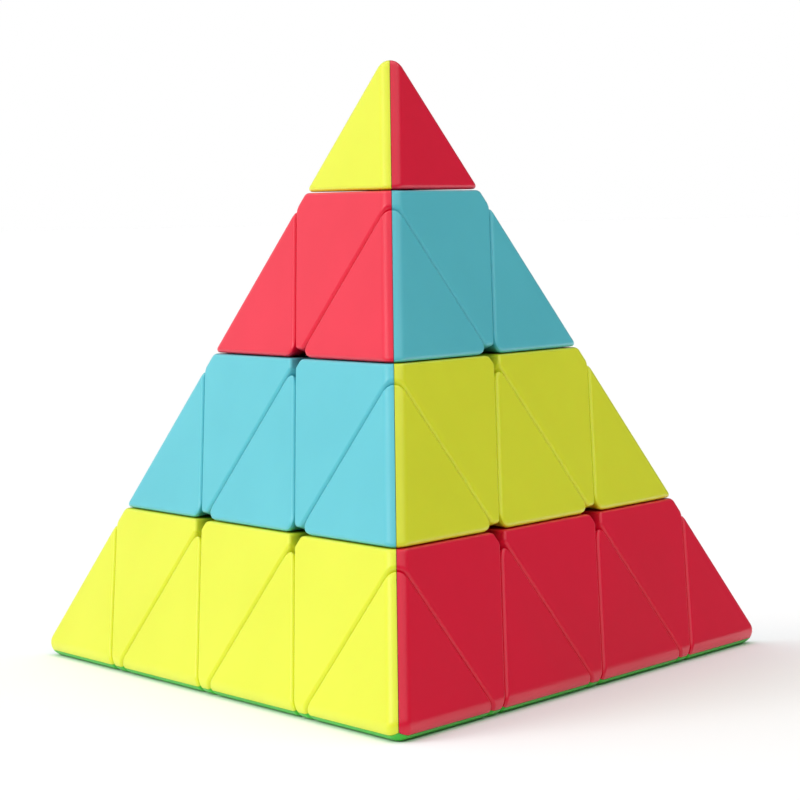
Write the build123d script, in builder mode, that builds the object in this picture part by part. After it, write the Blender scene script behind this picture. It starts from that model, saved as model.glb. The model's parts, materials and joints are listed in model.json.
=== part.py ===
from build123d import *
import math
import os

# Four-layer pyramid twisty puzzle, millimetres, +Z up.
# The origin is the middle of the base face, where the upright turning axis meets the table.

# Outer size and the levels of the cuts, as shares of the height from a face to its corner
edge_length = 98.0
tip_cut = 0.756
corner_cut = 0.503
layer_cut = 0.25

# Gaps and rounding of the outer pieces
layer_gap = 0.16
seam_gap = 0.08
edge_round = 1.7
corner_round = 1.5
rim_round = 0.45
axial_blunt = 1.5
edge_blunt = 1.0
wall = 1.7

# Core, arms and hidden hubs, lengths measured along an arm from the middle of the core
core_radius = 7.0
core_clearance = 9.4
arm_radius = 3.0
arm_length = 19.8
arm_bore_radius = 3.06
hub_face_level = 0.1
wing_clearance_radius = 8.8
wing_clearance_length = 20.0
hub_bore_length = 40.0

# Screw, washer and spring of each arm
screw_radius = 1.5
screw_bore_radius = 1.56
screw_hole_radius = 1.52
screw_start = 8.0
screw_head_radius = 2.8
screw_head_start = 29.3
screw_head_height = 2.0
screw_head_round = 0.4
screw_slot_radius = 1.2
screw_slot_depth = 1.1
washer_radius = 3.2
washer_start = 22.15
washer_thickness = 0.5
spring_radius = 2.3
spring_wire_radius = 0.35
spring_turns = 5

# Pivot that holds a tip on its corner piece
pivot_radius = 1.65
pivot_bore_radius = 1.71
pivot_head_radius = 2.8
pivot_head_start = 36.9
pivot_head_height = 1.65
pivot_collar_radius = 2.4
pivot_collar_start = 42.5
pivot_collar_height = 1.0
pivot_end = 46.0

height = edge_length * math.sqrt(2 / 3)
base_radius = edge_length / math.sqrt(3)
row_share = 0.25
middle_level = row_share
middle = Vector(0, 0, height * middle_level)
block_size = 3 * edge_length

corners = {
    "top": Vector(0, 0, height),
    "front": Vector(0, -base_radius, 0),
    "right": Vector(edge_length / 2, base_radius / 2, 0),
    "left": Vector(-edge_length / 2, base_radius / 2, 0),
}


def arm_direction(corner):
    return (corners[corner] - middle).normalized()


def cut_plane(corner, level, shift=0.0):
    """Plane parallel to the face opposite a corner, facing that corner."""
    direction = arm_direction(corner)
    distance = (level - middle_level) * height + shift
    return Plane(origin=middle + direction * distance, z_dir=direction)


def arm_plane(corner, distance):
    direction = arm_direction(corner)
    return Plane(origin=middle + direction * distance, z_dir=direction)


def above(corner, level, inset=0.0):
    return cut_plane(corner, level, layer_gap / 2 + inset), Keep.TOP


def below(corner, level, inset=0.0):
    return cut_plane(corner, level, -layer_gap / 2 - inset), Keep.BOTTOM


def under_face(corner, depth=wall):
    """Everything deeper than the given depth below the face opposite a corner."""
    return cut_plane(corner, 0, depth), Keep.TOP


def seam(towards, away):
    """One side of the colour seam that halves the pyramid between two corners."""
    direction = (corners[towards] - corners[away]).normalized()
    return Plane(origin=middle + direction * seam_gap / 2, z_dir=direction), Keep.TOP


def lattice_point(shares):
    point = Vector(0, 0, 0)
    for corner, share in shares.items():
        point = point + corners[corner] * share
    return point


def blunt(vertex_shares, opposite_shares, depth):
    """Cut that takes the needle point off a downward triangle, square to its face."""
    vertex = lattice_point(vertex_shares)
    direction = (vertex - lattice_point(opposite_shares)).normalized()
    return Plane(origin=vertex - direction * depth, z_dir=direction), Keep.BOTTOM


def trim(cuts):
    for plane, keep in cuts:
        split(bisect_by=plane, keep=keep)


def lies_on(edge, plane):
    tolerance = 1e-3
    samples = [edge @ 0, edge @ 0.5, edge @ 1]
    return all(abs(plane.to_local_coords(sample).Z) < tolerance for sample in samples)


def edges_between(part, pairs):
    """Edges of a part that lie on both planes of any of the given pairs."""
    chosen = []
    for edge in part.edges():
        if any(lies_on(edge, first) and lies_on(edge, second) for first, second in pairs):
            chosen.append(edge)
    return chosen


face_plane = {corner: cut_plane(corner, 0) for corner in corners}

# The whole pyramid with its rounded edges, from which every outer piece is cut
with BuildPart() as pyramid:
    with BuildSketch() as base_outline:
        RegularPolygon(radius=base_radius, side_count=3, rotation=-90)
    loft(sections=[base_outline.face(), Vertex(0, 0, height)])
    fillet(pyramid.edges(), edge_round)


def hollow(cuts):
    """Inside of a piece: a block cut down by the inset planes of its walls."""
    with BuildPart() as inside:
        Box(block_size, block_size, block_size)
        trim(cuts)
        with Locations(middle):
            Sphere(core_clearance + wall, mode=Mode.SUBTRACT)
    return inside.part


# Tip at the top corner, three coloured shells of which the one on the left face is kept
with BuildPart() as tip_shell:
    add(pyramid.part)
    tip_floor, tip_side = above("top", tip_cut)
    trim([(tip_floor, tip_side)])
    tip_rims = [(tip_floor, face_plane[corner]) for corner in ("front", "right", "left")]
    fillet(edges_between(tip_shell, tip_rims), rim_round)
    tip_inside = [above("top", tip_cut, wall)]
    tip_inside += [under_face(corner) for corner in ("front", "right", "left")]
    add(hollow(tip_inside), mode=Mode.SUBTRACT)
    with BuildSketch(arm_plane("top", pivot_head_start)):
        Circle(pivot_radius)
    extrude(amount=pivot_collar_start - pivot_head_start, mode=Mode.SUBTRACT)
    trim([seam("front", "right"), seam("left", "right")])

# Corner piece behind the tip, again the shell on the left face
with BuildPart() as axial_shell:
    add(pyramid.part)
    axial_top, axial_top_side = below("top", tip_cut)
    axial_cuts = [(axial_top, axial_top_side), above("top", corner_cut)]
    axial_cuts += [below(corner, layer_cut) for corner in ("front", "right", "left")]
    trim(axial_cuts)
    axial_rims = []
    for first, second, face in (
        ("front", "left", "right"),
        ("front", "right", "left"),
        ("left", "right", "front"),
    ):
        point_shares = {"top": 2 * row_share, first: row_share, second: row_share}
        top_shares = {"top": 3 * row_share, first: row_share / 2, second: row_share / 2}
        trim([blunt(point_shares, top_shares, axial_blunt)])
        axial_rims.append((below(first, layer_cut)[0], face_plane[face]))
        axial_rims.append((below(second, layer_cut)[0], face_plane[face]))
        axial_rims.append((axial_top, face_plane[face]))
    fillet(edges_between(axial_shell, axial_rims), rim_round)
    axial_inside = [below("top", tip_cut, wall), above("top", corner_cut, wall)]
    axial_inside += [below(corner, layer_cut, wall) for corner in ("front", "right", "left")]
    axial_inside += [under_face(corner) for corner in ("front", "right", "left")]
    add(hollow(axial_inside), mode=Mode.SUBTRACT)
    with BuildSketch(arm_plane("top", arm_length)):
        Circle(screw_bore_radius)
    extrude(amount=screw_head_start - arm_length, mode=Mode.SUBTRACT)
    with BuildSketch(arm_plane("top", pivot_head_start)):
        Circle(pivot_bore_radius)
    extrude(amount=pivot_collar_start - pivot_head_start, mode=Mode.SUBTRACT)
    trim([seam("front", "right"), seam("left", "right")])

# Wing on the front edge next to the top corner piece, the half on the left face
with BuildPart() as wing_shell:
    add(pyramid.part)
    wing_floor, wing_floor_side = above("top", corner_cut)
    wing_roof, wing_roof_side = above("front", layer_cut)
    trim([(wing_floor, wing_floor_side), (wing_roof, wing_roof_side)])
    fillet(edges_between(wing_shell, [(wing_floor, wing_roof)]), corner_round)
    wing_rims = []
    for face in ("right", "left"):
        wing_rims.append((wing_floor, face_plane[face]))
        wing_rims.append((wing_roof, face_plane[face]))
    fillet(edges_between(wing_shell, wing_rims), rim_round)
    wing_inside = [above("top", corner_cut, wall), above("front", layer_cut, wall)]
    wing_inside += [under_face("right"), under_face("left")]
    add(hollow(wing_inside), mode=Mode.SUBTRACT)
    with BuildSketch(arm_plane("top", arm_length)):
        Circle(wing_clearance_radius)
    extrude(amount=wing_clearance_length, mode=Mode.SUBTRACT)
    trim([seam("left", "right")])

# Middle piece of the front edge, the half on the left face
with BuildPart() as edge_shell:
    add(pyramid.part)
    edge_cuts = []
    for corner in ("top", "front"):
        edge_cuts += [above(corner, layer_cut), below(corner, corner_cut)]
    for corner in ("right", "left"):
        edge_cuts.append(below(corner, layer_cut))
    trim(edge_cuts)
    edge_rims = []
    for face, side in (("right", "left"), ("left", "right")):
        for near, far in (("top", "front"), ("front", "top")):
            point_shares = {near: 2 * row_share, far: row_share, side: row_share}
            opposite_shares = {near: 1.5 * row_share, far: 2 * row_share, side: row_share / 2}
            trim([blunt(point_shares, opposite_shares, edge_blunt)])
            edge_rims.append((below(near, corner_cut)[0], face_plane[face]))
        edge_rims.append((below(side, layer_cut)[0], face_plane[face]))
    fillet(edges_between(edge_shell, edge_rims), rim_round)
    edge_inside = [under_face("right"), under_face("left")]
    for corner in ("top", "front"):
        edge_inside += [above(corner, layer_cut, wall), below(corner, corner_cut, wall)]
    for corner in ("right", "left"):
        edge_inside.append(below(corner, layer_cut, wall))
    add(hollow(edge_inside), mode=Mode.SUBTRACT)
    with Locations(middle):
        Sphere(core_clearance, mode=Mode.SUBTRACT)
    trim([seam("left", "right")])

# Centre piece of the left face
with BuildPart() as centre_shell:
    add(pyramid.part)
    centre_cuts = [above(corner, layer_cut) for corner in ("top", "front", "left")]
    trim(centre_cuts)
    with Locations(middle):
        Sphere(core_clearance, mode=Mode.SUBTRACT)
    centre_planes = [plane for plane, keep in centre_cuts]
    centre_corners = [
        (centre_planes[0], centre_planes[1]),
        (centre_planes[1], centre_planes[2]),
        (centre_planes[2], centre_planes[0]),
    ]
    fillet(edges_between(centre_shell, centre_corners), corner_round)
    centre_rims = [(plane, face_plane["right"]) for plane in centre_planes]
    fillet(edges_between(centre_shell, centre_rims), rim_round)
    centre_inside = [above(corner, layer_cut, wall) for corner in ("top", "front", "left")]
    centre_inside.append(under_face("right"))
    add(hollow(centre_inside), mode=Mode.SUBTRACT)

# Hidden hub that turns on the top arm under the corner piece
with BuildPart() as hub:
    Box(block_size, block_size, block_size)
    hub_cuts = [below("top", corner_cut)]
    for corner in ("front", "right", "left"):
        hub_cuts.append(below(corner, layer_cut))
        hub_cuts.append((cut_plane(corner, hub_face_level), Keep.TOP))
    trim(hub_cuts)
    with Locations(middle):
        Sphere(core_clearance, mode=Mode.SUBTRACT)
    with BuildSketch(arm_plane("top", 0)):
        Circle(arm_bore_radius)
    extrude(amount=hub_bore_length, mode=Mode.SUBTRACT)

# Core ball with its four arms, bored for the screws
with BuildPart() as core:
    with Locations(middle):
        Sphere(core_radius)
    for corner in corners:
        with BuildSketch(arm_plane(corner, 0)):
            Circle(arm_radius)
        extrude(amount=arm_length)
    for corner in corners:
        with BuildSketch(arm_plane(corner, screw_start)):
            Circle(screw_hole_radius)
        extrude(amount=arm_length - screw_start, mode=Mode.SUBTRACT)

# Screw of the top arm, with a hexagon socket in its head
with BuildPart() as screw:
    with BuildSketch(arm_plane("top", screw_start)):
        Circle(screw_radius)
    extrude(amount=screw_head_start - screw_start)
    with BuildSketch(arm_plane("top", screw_head_start)):
        Circle(screw_head_radius)
    extrude(amount=screw_head_height)
    screw_top = arm_plane("top", screw_head_start + screw_head_height)
    fillet(edges_between(screw, [(screw_top, screw_top)]), screw_head_round)
    with BuildSketch(screw_top):
        RegularPolygon(radius=screw_slot_radius, side_count=6)
    extrude(amount=-screw_slot_depth, mode=Mode.SUBTRACT)

with BuildPart() as washer:
    with BuildSketch(arm_plane("top", washer_start)):
        Circle(washer_radius)
        Circle(screw_bore_radius, mode=Mode.SUBTRACT)
    extrude(amount=washer_thickness)

# Spring between the washer and the screw head
spring_start = washer_start + washer_thickness + 2 * spring_wire_radius
spring_end = screw_head_start - 2 * spring_wire_radius
with BuildPart() as spring:
    with BuildLine() as coil:
        Helix(
            pitch=(spring_end - spring_start) / spring_turns,
            height=spring_end - spring_start,
            radius=spring_radius,
            center=arm_plane("top", spring_start).origin,
        )
    with BuildSketch(Plane(origin=coil.line @ 0, z_dir=coil.line % 0)):
        Circle(spring_wire_radius)
    sweep(is_frenet=True)

# Pivot of the top tip: a headed pin with a collar on the tip side of its floor
with BuildPart() as pivot:
    with BuildSketch(arm_plane("top", pivot_head_start)):
        Circle(pivot_head_radius)
    extrude(amount=pivot_head_height)
    with BuildSketch(arm_plane("top", pivot_head_start)):
        Circle(pivot_radius)
    extrude(amount=pivot_end - pivot_head_start)
    with BuildSketch(arm_plane("top", pivot_collar_start)):
        Circle(pivot_collar_radius)
    extrude(amount=pivot_collar_height)


def arm_frame(first, second):
    """Frame on the core with z along one arm and x leaning towards another."""
    upright = arm_direction(first)
    lean = arm_direction(second)
    sideways = lean - upright * lean.dot(upright)
    return Plane(origin=middle, x_dir=sideways.normalized(), z_dir=upright)


def placed(shape, near, second, face):
    """Copy of a shape made for the top and front corners and the left face."""
    turn = arm_direction(near).cross(arm_direction(second)).dot(arm_direction(face))
    if turn < 0:
        shape = mirror(shape, about=Plane.YZ)
    home = arm_frame("top", "front").location
    return shape.moved(arm_frame(near, second).location * home.inverse())


def write_node(name, copies):
    pieces = [placed(*copy) for copy in copies]
    with BuildPart() as node:
        for piece in pieces:
            add(piece)
    node.part.label = name
    export_step(node.part, f"parts/{name}.step")


def others(*used):
    return [corner for corner in corners if corner not in used]


# Each face is named for the side it looks to, and stands opposite one corner
face_name = {"right": "left", "left": "right", "front": "back", "top": "base"}
upper_faces = ("right", "left", "front")
lower_corners = ("front", "right", "left")

os.makedirs("parts", exist_ok=True)

# Tips: three shells and a pivot at each corner
for near in corners:
    for face in others(near):
        second = others(near, face)[0]
        write_node(f"{near}_tip_{face_name[face]}_shell", [(tip_shell.part, near, second, face)])
    second, face = others(near)[:2]
    write_node(f"{near}_tip_pivot", [(pivot.part, near, second, face)])

# Corner pieces: the shells on the three upright faces
for near in corners:
    for face in upper_faces:
        if face != near:
            second = others(near, face)[0]
            name = f"{near}_axial_{face_name[face]}_shell"
            write_node(name, [(axial_shell.part, near, second, face)])

# Wings of the top corner, in pairs of one colour on each face
for face in upper_faces:
    pair = [(wing_shell.part, "top", far, face) for far in others("top", face)]
    write_node(f"top_wings_{face_name[face]}_shells", pair)

for near in lower_corners:
    # Green shells of a lower corner: the corner piece and its two base wings
    base_far = others("top", near)
    green = [(axial_shell.part, near, base_far[0], "top")]
    green += [(wing_shell.part, near, far, "top") for far in base_far]
    write_node(f"{near}_corner_base_shells", green)
    # Upright halves of its two base wings
    for far in base_far:
        face = others("top", near, far)[0]
        write_node(f"{near}_wing_{face_name[face]}_shell", [(wing_shell.part, near, far, face)])
    # Its wing in the layer above
    for face in others("top", near):
        name = f"{near}_upper_wing_{face_name[face]}_shell"
        write_node(name, [(wing_shell.part, near, "top", face)])

# Middle pieces of the three upright edges, in pairs of one colour on each face
for face in upper_faces:
    pair = [(edge_shell.part, "top", far, face) for far in others("top", face)]
    write_node(f"middle_edges_{face_name[face]}_shells", pair)

# Middle pieces of the three base edges
green_edges = []
for face in upper_faces:
    near, far = others("top", face)
    write_node(f"base_edge_{face_name[face]}_shell", [(edge_shell.part, near, far, face)])
    green_edges.append((edge_shell.part, near, far, "top"))
write_node("base_edges_base_shells", green_edges)

# Face centres
for face in corners:
    near, second = others(face)[:2]
    write_node(f"{face_name[face]}_centre_shell", [(centre_shell.part, near, second, face)])

# Mechanism inside
write_node("upper_hub", [(hub.part, "top", "front", "right")])
lower_arms = [(near, *others(near)[:2]) for near in lower_corners]
all_arms = [(near, *others(near)[:2]) for near in corners]
write_node("lower_hubs", [(hub.part, *arm) for arm in lower_arms])
write_node("arm_screws", [(screw.part, *arm) for arm in all_arms])
write_node("arm_washers", [(washer.part, *arm) for arm in all_arms])
write_node("arm_springs", [(spring.part, *arm) for arm in all_arms])
core.part.label = "core"
export_step(core.part, "parts/core.step")
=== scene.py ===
import itertools
import json
import math

import bpy
from mathutils import Matrix, Vector


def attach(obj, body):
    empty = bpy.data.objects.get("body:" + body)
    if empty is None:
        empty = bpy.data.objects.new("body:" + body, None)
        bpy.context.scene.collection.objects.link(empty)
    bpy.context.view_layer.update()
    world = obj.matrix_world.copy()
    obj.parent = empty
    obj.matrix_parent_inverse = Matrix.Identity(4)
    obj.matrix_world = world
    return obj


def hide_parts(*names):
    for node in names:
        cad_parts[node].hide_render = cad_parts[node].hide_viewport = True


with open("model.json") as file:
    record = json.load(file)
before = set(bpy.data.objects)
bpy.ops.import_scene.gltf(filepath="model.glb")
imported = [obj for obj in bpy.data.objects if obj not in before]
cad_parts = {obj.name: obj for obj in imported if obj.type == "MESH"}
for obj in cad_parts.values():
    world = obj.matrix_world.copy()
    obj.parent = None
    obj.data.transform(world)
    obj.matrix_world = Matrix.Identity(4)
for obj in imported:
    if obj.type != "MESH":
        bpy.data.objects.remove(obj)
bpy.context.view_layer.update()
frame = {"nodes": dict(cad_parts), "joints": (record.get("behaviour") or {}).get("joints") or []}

# All turning axes meet in one point, one row of four above the base.
rowShare = 0.25
joints = {joint["name"]: joint for joint in frame["joints"]}
middle = Vector(joints["three_layers_turn"]["pos_m"])
height = middle.z / rowShare
edgeLength = height / math.sqrt(2 / 3)
baseRadius = edgeLength / math.sqrt(3)
blockSize = 3 * edgeLength  # holds the whole pyramid from any side

# What every piece shares: cuts are shares of the height from a face to its corner,
# and lengths are in metres.
puzzle = {
    "tipCut": 0.756,
    "cornerCut": 0.503,
    "layerCut": rowShare,
    "layerGap": 0.00012,
    "seamGap": 0.00006,
    "wall": 0.0017,
    "coreClearance": 0.0094,
    "edgeRound": 0.0017,
    "rimSegments": 4,
    "shortest": 0.00012,  # shorter edges are merged before the rims are rounded
    "touching": 0.000002,
    "onPlane": 0.00002,
    "onSkin": 0.00005,
    "flatAngle": math.radians(0.05),
    "smoothAngle": math.radians(32),
    "cornerBallDetail": 3,
    "roundSegments": 48,
    "roundRings": 24,
    "normalWeight": 100,
}
corners = {
    "top": Vector((0, 0, height)),
    "front": Vector((0, -baseRadius, 0)),
    "right": Vector((edgeLength / 2, baseRadius / 2, 0)),
    "left": Vector((-edgeLength / 2, baseRadius / 2, 0)),
}
faceName = {"right": "left", "left": "right", "front": "back", "top": "base"}  # opposite each corner


# a plane is a point and the direction of the side that stays

def armDirection(corner):
    return (corners[corner] - middle).normalized()


def cutPlane(corner, level, shift=0.0):
    direction = armDirection(corner)
    return middle + direction * ((level - rowShare) * height + shift), direction


def above(corner, level, inset=0.0):
    return cutPlane(corner, level, puzzle["layerGap"] / 2 + inset)


def below(corner, level, inset=0.0):
    point, direction = cutPlane(corner, level, -puzzle["layerGap"] / 2 - inset)
    return point, -direction


def underFace(corner):
    return cutPlane(corner, 0, puzzle["wall"])


def seam(towards, away):
    direction = (corners[towards] - corners[away]).normalized()
    return middle + direction * puzzle["seamGap"] / 2, direction


def latticePoint(shares):
    return sum((corners[corner] * share for corner, share in shares.items()), Vector())


def blunt(vertexShares, oppositeShares, depth):
    vertex = latticePoint(vertexShares)
    direction = (vertex - latticePoint(oppositeShares)).normalized()
    return vertex - direction * depth, -direction


def others(*used):
    return [corner for corner in corners if corner not in used]


def onPlane(place, plane):
    return abs((place - plane[0]).dot(plane[1])) < puzzle["onPlane"]


def deselectAll():
    if bpy.context.mode != "OBJECT":
        bpy.ops.object.mode_set(mode="OBJECT")
    bpy.ops.object.select_all(action="DESELECT")


def makeActive(piece):
    deselectAll()
    piece.select_set(True)
    bpy.context.view_layer.objects.active = piece


def bisect(piece, plane):
    # keeps the side that the plane faces
    makeActive(piece)
    bpy.ops.object.mode_set(mode="EDIT")
    bpy.ops.mesh.select_all(action="SELECT")
    bpy.ops.mesh.bisect(plane_co=plane[0], plane_no=plane[1], use_fill=True, clear_inner=True,
                        threshold=puzzle["touching"] / 2)
    bpy.ops.object.mode_set(mode="OBJECT")


def bevelEdges(piece, wanted, width, segments):
    makeActive(piece)
    bpy.ops.object.mode_set(mode="EDIT")
    bpy.ops.mesh.select_mode(type="EDGE")
    bpy.ops.mesh.select_all(action="DESELECT")
    bpy.ops.object.mode_set(mode="OBJECT")
    places = piece.data.vertices
    for edge in piece.data.edges:
        edge.select = wanted(edge, places[edge.vertices[0]].co, places[edge.vertices[1]].co)
    bpy.ops.object.mode_set(mode="EDIT")
    bpy.ops.mesh.bevel(offset_type="OFFSET", offset=width, segments=segments, profile=0.5,
                       affect="EDGES", clamp_overlap=False)
    bpy.ops.object.mode_set(mode="OBJECT")


def liesBetween(first, second, pairs):
    return any(onPlane(first, a) and onPlane(second, a) and onPlane(first, b) and onPlane(second, b)
               for a, b in pairs)


def bevelBetween(piece, pairs, width, segments):
    def wanted(edge, first, second):
        return liesBetween(first, second, pairs)

    bevelEdges(piece, wanted, width, segments)


def cutAway(piece, cutter):
    makeActive(piece)
    bpy.ops.object.modifier_add(type="BOOLEAN")
    modifier = piece.modifiers[-1]
    modifier.operation = "DIFFERENCE"
    modifier.solver = "EXACT"
    modifier.object = cutter
    bpy.ops.object.modifier_apply(modifier=modifier.name)
    bpy.data.objects.remove(cutter)


def cylinderOn(corner, radius, start, end):
    direction = armDirection(corner)
    deselectAll()
    bpy.ops.mesh.primitive_cylinder_add(vertices=puzzle["roundSegments"], radius=radius,
                                        depth=end - start,
                                        location=middle + direction * (start + end) / 2,
                                        rotation=direction.to_track_quat("Z", "Y").to_euler())
    return bpy.context.object


def ballAt(radius):
    deselectAll()
    bpy.ops.mesh.primitive_uv_sphere_add(segments=puzzle["roundSegments"],
                                         ring_count=puzzle["roundRings"],
                                         radius=radius, location=middle)
    return bpy.context.object


def hollow(piece, planes, ball=False):
    # the inside is a block cut down by the inner faces of the walls
    deselectAll()
    bpy.ops.mesh.primitive_cube_add(size=blockSize, location=middle)
    inside = bpy.context.object
    bpy.ops.object.transform_apply(location=True, rotation=True, scale=True)
    for plane in planes:
        bisect(inside, plane)
    if ball:
        cutAway(inside, ballAt(puzzle["coreClearance"] + puzzle["wall"]))
    cutAway(piece, inside)


# the whole pyramid with its rounded edges, from which the pieces are cut:
# a ball in each corner, wrapped tight
inset = 1 - puzzle["edgeRound"] / middle.z
balls = []
for corner in corners.values():
    deselectAll()
    bpy.ops.mesh.primitive_ico_sphere_add(subdivisions=puzzle["cornerBallDetail"],
                                          radius=puzzle["edgeRound"],
                                          location=middle + (corner - middle) * inset)
    balls.append(bpy.context.object)
for ball in balls:
    ball.select_set(True)
bpy.ops.object.join()
blank = bpy.context.object
blank.name = "blank"
bpy.ops.object.transform_apply(location=True, rotation=True, scale=True)
bpy.ops.object.mode_set(mode="EDIT")
bpy.ops.mesh.select_all(action="SELECT")
bpy.ops.mesh.convex_hull(join_triangles=False)
bpy.ops.mesh.select_all(action="SELECT")
bpy.ops.mesh.dissolve_limited(angle_limit=puzzle["flatAngle"])
bpy.ops.object.mode_set(mode="OBJECT")
print("blank pyramid:", len(blank.data.polygons), "faces")


def startPiece(name):
    piece = blank.copy()
    piece.data = blank.data.copy()
    piece.name = name
    bpy.context.collection.objects.link(piece)
    return piece


def isOuter(face):
    place = blank.closest_point_on_mesh(face.center)[1]
    return (place - face.center).length < puzzle["onSkin"]


def bevelRims(piece, width, pairs=()):
    # a rim runs where the outer surface meets a cut, and the blunt points are rounded with it
    makeActive(piece)
    bpy.ops.object.mode_set(mode="EDIT")
    bpy.ops.mesh.select_all(action="SELECT")
    bpy.ops.mesh.remove_doubles(threshold=puzzle["shortest"])
    bpy.ops.object.mode_set(mode="OBJECT")
    owners = {}
    for face in piece.data.polygons:
        outer = isOuter(face)
        for key in face.edge_keys:
            owners.setdefault(key, set()).add(outer)

    def wanted(edge, first, second):
        outerMeetsCut = len(owners[edge.key]) == 2
        return outerMeetsCut or liesBetween(first, second, pairs)

    bevelEdges(piece, wanted, width, puzzle["rimSegments"])


# tip, the shell on the left face
tip = {"rimBevel": 0.0008, "boreRadius": 0.00165, "boreStart": 0.0369, "boreEnd": 0.0425}


def makeTip():
    piece = startPiece("tip")
    bisect(piece, above("top", puzzle["tipCut"]))
    bevelRims(piece, tip["rimBevel"])
    walls = [above("top", puzzle["tipCut"], puzzle["wall"])]
    walls += [underFace(corner) for corner in ("front", "right", "left")]
    hollow(piece, walls)
    cutAway(piece, cylinderOn("top", tip["boreRadius"], tip["boreStart"], tip["boreEnd"]))
    bisect(piece, seam("front", "right"))
    bisect(piece, seam("left", "right"))
    return piece


# corner piece behind the tip, the shell on the left face
axial = {
    "rimBevel": 0.0004,
    "bluntDepth": 0.0015,
    "screwBore": (0.00156, 0.0198, 0.0293),  # radius, start and end along the arm
    "pivotBore": (0.00171, 0.0369, 0.0425),
}


def makeAxial():
    piece = startPiece("axial")
    levels = puzzle["tipCut"], puzzle["cornerCut"], puzzle["layerCut"]
    sides = ("front", "right", "left")
    bisect(piece, below("top", levels[0]))
    bisect(piece, above("top", levels[1]))
    for corner in sides:
        bisect(piece, below(corner, levels[2]))
    pairs = []
    for first, second in itertools.combinations(sides, 2):
        point = {"top": 2 * rowShare, first: rowShare, second: rowShare}
        opposite = {"top": 3 * rowShare, first: rowShare / 2, second: rowShare / 2}
        facet = blunt(point, opposite, axial["bluntDepth"])
        bisect(piece, facet)
        pairs += [(facet, below(first, levels[2])), (facet, below(second, levels[2]))]
    bevelRims(piece, axial["rimBevel"], pairs)
    wall = puzzle["wall"]
    walls = [below("top", levels[0], wall), above("top", levels[1], wall)]
    for corner in sides:
        walls += [below(corner, levels[2], wall), underFace(corner)]
    hollow(piece, walls)
    cutAway(piece, cylinderOn("top", *axial["screwBore"]))
    cutAway(piece, cylinderOn("top", *axial["pivotBore"]))
    bisect(piece, seam("front", "right"))
    bisect(piece, seam("left", "right"))
    return piece


# wing on the front edge next to the top corner piece, the half on the left face
wing = {
    "rimBevel": 0.0008,
    "cornerBevel": 0.0023,
    "cornerSegments": 8,
    "clearance": (0.0088, 0.0198, 0.0398),  # radius, start and end along the arm
}


def makeWing():
    piece = startPiece("wing")
    floor, roof = above("top", puzzle["cornerCut"]), above("front", puzzle["layerCut"])
    bisect(piece, floor)
    bisect(piece, roof)
    bevelBetween(piece, [(floor, roof)], wing["cornerBevel"], wing["cornerSegments"])
    bevelRims(piece, wing["rimBevel"])
    wall = puzzle["wall"]
    hollow(piece, [above("top", puzzle["cornerCut"], wall), above("front", puzzle["layerCut"], wall),
                   underFace("right"), underFace("left")])
    cutAway(piece, cylinderOn("top", *wing["clearance"]))
    bisect(piece, seam("left", "right"))
    return piece


# middle piece of the front edge, the half on the left face
middleEdge = {"rimBevel": 0.0004, "bluntDepth": 0.001}


def makeEdge():
    piece = startPiece("edge")
    layer, corner = puzzle["layerCut"], puzzle["cornerCut"]
    ends, sides = ("top", "front"), ("right", "left")
    for end in ends:
        bisect(piece, above(end, layer))
        bisect(piece, below(end, corner))
    for side in sides:
        bisect(piece, below(side, layer))
    pairs = []
    for side in sides:
        for first, second in (ends, ends[::-1]):
            point = {first: 2 * rowShare, second: rowShare, side: rowShare}
            opposite = {first: 1.5 * rowShare, second: 2 * rowShare, side: rowShare / 2}
            facet = blunt(point, opposite, middleEdge["bluntDepth"])
            bisect(piece, facet)
            pairs += [(facet, below(first, corner)), (facet, below(side, layer))]
    bevelRims(piece, middleEdge["rimBevel"], pairs)
    wall = puzzle["wall"]
    walls = [underFace("right"), underFace("left")]
    for end in ends:
        walls += [above(end, layer, wall), below(end, corner, wall)]
    walls += [below(side, layer, wall) for side in sides]
    hollow(piece, walls, ball=True)
    cutAway(piece, ballAt(puzzle["coreClearance"]))
    bisect(piece, seam("left", "right"))
    return piece


# centre piece of the left face
centre = {"rimBevel": 0.0008, "cornerBevel": 0.0023, "cornerSegments": 8}


def makeCentre():
    piece = startPiece("centre")
    planes = [above(corner, puzzle["layerCut"]) for corner in ("top", "front", "left")]
    for plane in planes:
        bisect(piece, plane)
    cutAway(piece, ballAt(puzzle["coreClearance"]))
    bevelBetween(piece, list(itertools.combinations(planes, 2)), centre["cornerBevel"],
                 centre["cornerSegments"])
    bevelRims(piece, centre["rimBevel"])
    walls = [above(corner, puzzle["layerCut"], puzzle["wall"]) for corner in ("top", "front", "left")]
    hollow(piece, walls + [underFace("right")], ball=True)
    return piece


patterns = {"tip": makeTip(), "axial": makeAxial(), "wing": makeWing(), "edge": makeEdge(),
            "centre": makeCentre()}
for name, piece in patterns.items():
    print("pattern", name, len(piece.data.polygons), "faces")

# colour, its slightly deeper tone, and how much light sinks in
finishes = {
    "yellow": {"colour": (0.82, 0.87, 0.032), "deep": (0.78, 0.83, 0.026), "glow": 0.3},
    "red": {"colour": (0.86, 0.003, 0.042), "deep": (0.80, 0.0025, 0.036), "glow": 0.2},
    "blue": {"colour": (0.11, 0.58, 0.67), "deep": (0.098, 0.545, 0.635), "glow": 0.2},
    "green": {"colour": (0.065, 0.62, 0.05), "deep": (0.055, 0.57, 0.042), "glow": 0.2},
}
plastic = {
    "rough": (0.29, 0.36),
    "grain": {"scale": 1400, "detail": 2, "bump": 0.03, "depth": 0.00004},
    "sweep": {"scale": 60, "detail": 3, "bump": 0.06, "depth": 0.0004},
    "sinkColours": (1.0, 0.6, 0.4),
    "sinkDepth": 0.0015,
    "ior": 1.5,
}
noiseSpan = (0.3, 0.7)  # where nearly all of the noise lies


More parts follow.
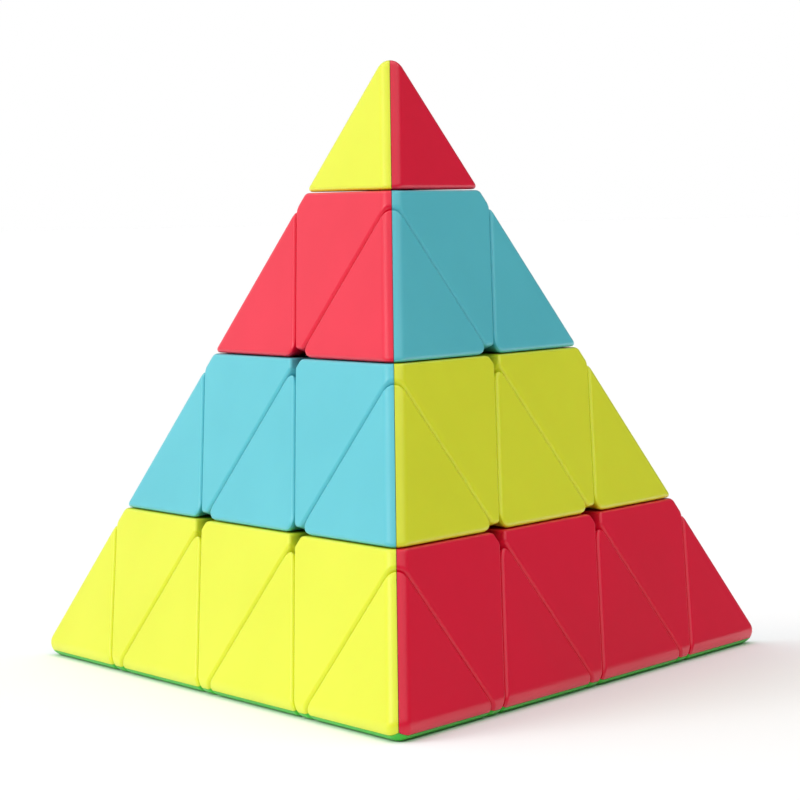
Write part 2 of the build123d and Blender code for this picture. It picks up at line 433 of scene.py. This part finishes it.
def mixColour(nodes, links, factor, first, second):
    mix = nodes.new("ShaderNodeMix")
    mix.data_type = "RGBA"
    mix.inputs["A"].default_value = (*first, 1)
    mix.inputs["B"].default_value = (*second, 1)
    links.new(factor, mix.inputs["Factor"])
    return mix.outputs["Result"]


def noise(nodes, links, coordinates, scale, detail):
    texture = nodes.new("ShaderNodeTexNoise")
    texture.inputs["Scale"].default_value = scale
    texture.inputs["Detail"].default_value = detail
    links.new(coordinates, texture.inputs["Vector"])
    return texture.outputs["Fac"]


def spread(nodes, links, value, low, high):
    mapped = nodes.new("ShaderNodeMapRange")
    mapped.inputs["From Min"].default_value = noiseSpan[0]
    mapped.inputs["From Max"].default_value = noiseSpan[1]
    mapped.inputs["To Min"].default_value = low
    mapped.inputs["To Max"].default_value = high
    links.new(value, mapped.inputs["Value"])
    return mapped.outputs["Result"]


def makePlastic(name, finish):
    material = bpy.data.materials.new(name)
    material.use_nodes = True
    nodes, links = material.node_tree.nodes, material.node_tree.links
    shader = nodes["Principled BSDF"]
    coordinates = nodes.new("ShaderNodeTexCoord").outputs["Object"]
    grain = noise(nodes, links, coordinates, plastic["grain"]["scale"], plastic["grain"]["detail"])
    sweep = noise(nodes, links, coordinates, plastic["sweep"]["scale"], plastic["sweep"]["detail"])
    tone = spread(nodes, links, sweep, 0, 1)
    links.new(mixColour(nodes, links, tone, finish["colour"], finish["deep"]), shader.inputs["Base Color"])
    links.new(spread(nodes, links, sweep, *plastic["rough"]), shader.inputs["Roughness"])
    broad = nodes.new("ShaderNodeBump")
    broad.inputs["Strength"].default_value = plastic["sweep"]["bump"]
    broad.inputs["Distance"].default_value = plastic["sweep"]["depth"]
    links.new(sweep, broad.inputs["Height"])
    fine = nodes.new("ShaderNodeBump")
    fine.inputs["Strength"].default_value = plastic["grain"]["bump"]
    fine.inputs["Distance"].default_value = plastic["grain"]["depth"]
    links.new(grain, fine.inputs["Height"])
    links.new(broad.outputs["Normal"], fine.inputs["Normal"])
    links.new(fine.outputs["Normal"], shader.inputs["Normal"])
    shader.inputs["Subsurface Weight"].default_value = finish["glow"]
    shader.inputs["Subsurface Radius"].default_value = plastic["sinkColours"]
    shader.inputs["Subsurface Scale"].default_value = plastic["sinkDepth"]
    shader.inputs["IOR"].default_value = plastic["ior"]
    return material


materials = {name: makePlastic(name + "Abs", finish) for name, finish in finishes.items()}

# the row that each body's pieces lie in, counted from the top
rows = {"top_tip": 0, "top_corner": 1, "three_layers": 2}
bottomRow = 3
rowColours = {
    "left": ("yellow", "red", "blue", "yellow"),
    "right": ("red", "blue", "yellow", "red"),
    "back": ("blue", "yellow", "red", "blue"),
    "base": ("green", "green", "green", "green"),
}


def colourOf(face, body):
    row = rows["three_layers"] if body.endswith("upper_wing") else rows.get(body, bottomRow)
    return rowColours[faceName[face]][row]


def armFrame(first, second):
    upright, lean = armDirection(first), armDirection(second)
    sideways = (lean - upright * lean.dot(upright)).normalized()
    turn = Matrix((sideways, upright.cross(sideways), upright)).transposed()
    return Matrix.Translation(middle) @ turn.to_4x4()


def place(pattern, first, second, face, node, body):
    piece = patterns[pattern].copy()
    piece.data = patterns[pattern].data.copy()
    piece.name = f"{pattern}_{first}_{second}_{faceName[face]}"
    bpy.context.collection.objects.link(piece)
    matrix = armFrame(first, second) @ armFrame("top", "front").inverted()
    mirrored = armDirection(first).cross(armDirection(second)).dot(armDirection(face)) < 0
    if mirrored:
        matrix = matrix @ Matrix.Scale(-1, 4, Vector((1, 0, 0)))
    piece.matrix_world = matrix
    makeActive(piece)
    bpy.ops.object.transform_apply(location=True, rotation=True, scale=True)
    bpy.ops.object.mode_set(mode="EDIT")
    bpy.ops.mesh.select_all(action="SELECT")
    bpy.ops.mesh.normals_make_consistent(inside=False)
    bpy.ops.object.mode_set(mode="OBJECT")
    bpy.ops.object.shade_smooth_by_angle(angle=puzzle["smoothAngle"])
    bpy.ops.object.modifier_add(type="WEIGHTED_NORMAL")
    piece.modifiers[-1].keep_sharp = True
    piece.modifiers[-1].weight = puzzle["normalWeight"]
    bpy.ops.object.modifier_apply(modifier=piece.modifiers[-1].name)
    colour = colourOf(face, body)
    piece.data.materials.clear()
    piece.data.materials.append(materials[colour])
    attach(piece, body)
    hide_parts(node)


for first in corners:
    for face in others(first):
        second = others(first, face)[0]
        shown = faceName[face]
        place("tip", first, second, face, f"{first}_tip_{shown}_shell", f"{first}_tip")
        node = f"{first}_corner_base_shells" if face == "top" else f"{first}_axial_{shown}_shell"
        place("axial", first, second, face, node, f"{first}_corner")
    for second in others(first):
        for face in others(first, second):
            shown, body = faceName[face], f"{first}_corner"
            if first == "top":
                node = f"top_wings_{shown}_shells"
            elif second == "top":
                node, body = f"{first}_upper_wing_{shown}_shell", f"{first}_upper_wing"
            elif face == "top":
                node = f"{first}_corner_base_shells"
            else:
                node = f"{first}_wing_{shown}_shell"
            place("wing", first, second, face, node, body)
print("tips, corner pieces and wings placed")

for first, second in itertools.combinations(corners, 2):
    for face in others(first, second):
        if first == "top":
            place("edge", first, second, face, f"middle_edges_{faceName[face]}_shells", "three_layers")
        elif face == "top":
            place("edge", first, second, face, "base_edges_base_shells", "root")
        else:
            place("edge", first, second, face, f"base_edge_{faceName[face]}_shell", "root")
for face in corners:
    first, second = others(face)[:2]
    place("centre", first, second, face, f"{faceName[face]}_centre_shell",
          "root" if face == "top" else "three_layers")
print("edges and centres placed")

for piece in [blank, *patterns.values()]:
    bpy.data.objects.remove(piece)

# nylon and steel of the mechanism inside
inner = {
    "inner_plastic": {"colour": (0.035, 0.035, 0.038), "deep": (0.025, 0.025, 0.028),
                      "rough": (0.42, 0.58), "metallic": 0.0, "scale": 900},
    "steel": {"colour": (0.62, 0.62, 0.64), "deep": (0.50, 0.50, 0.52),
              "rough": (0.22, 0.36), "metallic": 1.0, "scale": 1500},
}
innerGrain = {"detail": 4, "bump": 0.1, "depth": 0.00005}


def makeInner(name, finish):
    material = bpy.data.materials.new(name + "Inside")
    material.use_nodes = True
    nodes, links = material.node_tree.nodes, material.node_tree.links
    shader = nodes["Principled BSDF"]
    coordinates = nodes.new("ShaderNodeTexCoord").outputs["Object"]
    pattern = noise(nodes, links, coordinates, finish["scale"], innerGrain["detail"])
    tone = spread(nodes, links, pattern, 0, 1)
    links.new(mixColour(nodes, links, tone, finish["colour"], finish["deep"]), shader.inputs["Base Color"])
    links.new(spread(nodes, links, pattern, *finish["rough"]), shader.inputs["Roughness"])
    bump = nodes.new("ShaderNodeBump")
    bump.inputs["Strength"].default_value = innerGrain["bump"]
    bump.inputs["Distance"].default_value = innerGrain["depth"]
    links.new(pattern, bump.inputs["Height"])
    links.new(bump.outputs["Normal"], shader.inputs["Normal"])
    shader.inputs["Metallic"].default_value = finish["metallic"]
    return material


innerMaterials = {name: makeInner(name, finish) for name, finish in inner.items()}
for name, node in frame["nodes"].items():
    if not node.hide_render:
        steel = name.startswith("arm_")
        node.data.materials[0] = innerMaterials["steel" if steel else "inner_plastic"]
print("mechanism finished")

# floor, light and camera
studio = {
    "floorSize": 60,
    "paper": 0.97,
    "paperRough": 0.9,
    "paperShine": 0.1,
    "backdrop": 1.0,
    "ambient": 0.12,
}

deselectAll()
bpy.ops.mesh.primitive_plane_add(size=studio["floorSize"], location=(0, 0, 0))
floor = bpy.context.object
floor.name = "studioFloor"
paper = bpy.data.materials.new("whitePaper")
paper.use_nodes = True
paperShader = paper.node_tree.nodes["Principled BSDF"]
paperShader.inputs["Base Color"].default_value = (studio["paper"], studio["paper"], studio["paper"], 1)
paperShader.inputs["Roughness"].default_value = studio["paperRough"]
paperShader.inputs["Specular IOR Level"].default_value = studio["paperShine"]
floor.data.materials.append(paper)

# the camera sees a white room, which gives the object only a little light
world = bpy.data.worlds.new("whiteRoom")
world.use_nodes = True
roomNodes, roomLinks = world.node_tree.nodes, world.node_tree.links
dimRoom = roomNodes["Background"]
dimRoom.inputs["Color"].default_value = (1, 1, 1, 1)
dimRoom.inputs["Strength"].default_value = studio["ambient"]
brightRoom = roomNodes.new("ShaderNodeBackground")
brightRoom.inputs["Color"].default_value = (1, 1, 1, 1)
brightRoom.inputs["Strength"].default_value = studio["backdrop"]
roomMix = roomNodes.new("ShaderNodeMixShader")
roomLinks.new(roomNodes.new("ShaderNodeLightPath").outputs["Is Camera Ray"], roomMix.inputs["Fac"])
roomLinks.new(dimRoom.outputs["Background"], roomMix.inputs[1])
roomLinks.new(brightRoom.outputs["Background"], roomMix.inputs[2])
roomLinks.new(roomMix.outputs["Shader"], roomNodes["World Output"].inputs["Surface"])
bpy.context.scene.world = world
bpy.context.scene.view_settings.view_transform = "Standard"

# soft light from above, from the front left and from the back left
lamps = {
    "topLight": {"from": (0.0, -0.1, 1.0), "spread": 110, "power": 2.2},
    "keyLight": {"from": (-1.0, -0.35, 0.6), "spread": 35, "power": 1.0},
    "sideLight": {"from": (-0.82, 0.45, 0.3), "spread": 80, "power": 0.85},
}
for name, lamp in lamps.items():
    deselectAll()
    bpy.ops.object.light_add(type="SUN", location=Vector(lamp["from"]))
    light = bpy.context.object
    light.name = name
    light.rotation_euler = Vector(lamp["from"]).to_track_quat("Z", "Y").to_euler()
    light.data.angle = math.radians(lamp["spread"])
    light.data.energy = lamp["power"]

camera = {
    "place": (0.0027, -0.4126, 0.0572),
    "yaw": -0.305,
    "pitch": -3.148,
    "roll": -1.029,
    "lens": 149.5,
    "sensor": 36,
    "clip": (0.01, 100),
}
yaw, pitch, roll = (math.radians(camera[name]) for name in ("yaw", "pitch", "roll"))
forward = Vector((math.sin(yaw) * math.cos(pitch), math.cos(yaw) * math.cos(pitch), math.sin(pitch)))
level = Vector((math.cos(yaw), -math.sin(yaw), 0))
upright = level.cross(forward)
rightward = level * math.cos(roll) + upright * math.sin(roll)
upward = upright * math.cos(roll) - level * math.sin(roll)
deselectAll()
bpy.ops.object.camera_add()
view = bpy.context.object
view.name = "viewCamera"
aim = Matrix((rightward, upward, -forward)).transposed().to_4x4()
view.matrix_world = Matrix.Translation(camera["place"]) @ aim
view.data.lens = camera["lens"]
view.data.sensor_width = camera["sensor"]
view.data.clip_start, view.data.clip_end = camera["clip"]
bpy.context.scene.camera = view
print("studio ready")
